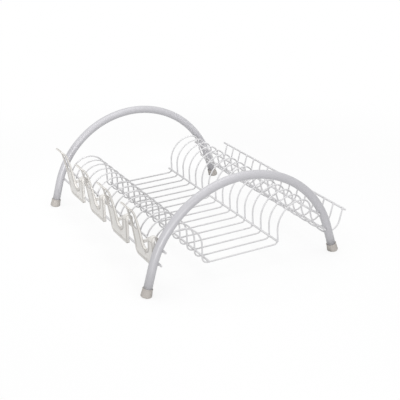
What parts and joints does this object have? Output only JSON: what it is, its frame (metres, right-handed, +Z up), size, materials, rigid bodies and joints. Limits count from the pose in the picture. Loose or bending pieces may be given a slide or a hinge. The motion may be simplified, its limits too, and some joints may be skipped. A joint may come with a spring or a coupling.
{
  "type": "dish drainer",
  "caption": "Free-standing wire plate rack between two bent tube arches, with a cup tray along one side and sliding clip-on glass holders along the other.",
  "frame": {"origin": "on the ground, in the middle of the outer box", "axes": "+Z up, +Y along the rack from the near arch to the far one, +X across it towards the cup tray"},
  "size_m": [0.4334, 0.5086, 0.1932],
  "materials": {
    "tube_coat": "satin powder coat",
    "wire_coat": "satin plastic coat",
    "holder_plastic": "satin",
    "cap_plastic": "matt"
  },
  "bodies": {
    "rack": {"arch_near": "tube_coat", "arch_far": "tube_coat", "foot_cap_near_left": "cap_plastic", "foot_cap_near_right": "cap_plastic", "foot_cap_far_left": "cap_plastic", "foot_cap_far_right": "cap_plastic", "profile_wire_01": "wire_coat", "profile_wire_02": "wire_coat", "profile_wire_03": "wire_coat", "profile_wire_04": "wire_coat", "profile_wire_05": "wire_coat", "profile_wire_06": "wire_coat", "profile_wire_07": "wire_coat", "profile_wire_08": "wire_coat", "profile_wire_09": "wire_coat", "profile_wire_10": "wire_coat", "profile_wire_11": "wire_coat", "profile_wire_12": "wire_coat", "profile_wire_13": "wire_coat", "profile_wire_14": "wire_coat", "profile_wire_15": "wire_coat", "profile_wire_16": "wire_coat", "upper_left_rail": "wire_coat", "lower_left_rail": "wire_coat", "upper_right_rail": "wire_coat", "lower_right_rail": "wire_coat", "floor_left_rail": "wire_coat", "floor_right_rail": "wire_coat", "tray_rim_rail": "wire_coat"},
    "holder_1": {"glass_holder_1": "holder_plastic"},
    "holder_2": {"glass_holder_2": "holder_plastic"},
    "holder_3": {"glass_holder_3": "holder_plastic"},
    "holder_4": {"glass_holder_4": "holder_plastic"}
  },
  "joints": [
    {"name": "holder_1_slide", "type": "slide", "parent": "rack", "child": "holder_1", "axis": [0, 1, 0], "range_m": [-0.003, 0.02]},
    {"name": "holder_2_slide", "type": "slide", "parent": "rack", "child": "holder_2", "axis": [0, 1, 0], "range_m": [-0.02, 0.02]},
    {"name": "holder_3_slide", "type": "slide", "parent": "rack", "child": "holder_3", "axis": [0, 1, 0], "range_m": [-0.02, 0.02]},
    {"name": "holder_4_slide", "type": "slide", "parent": "rack", "child": "holder_4", "axis": [0, 1, 0], "range_m": [-0.02, 0.044]}
  ]
}
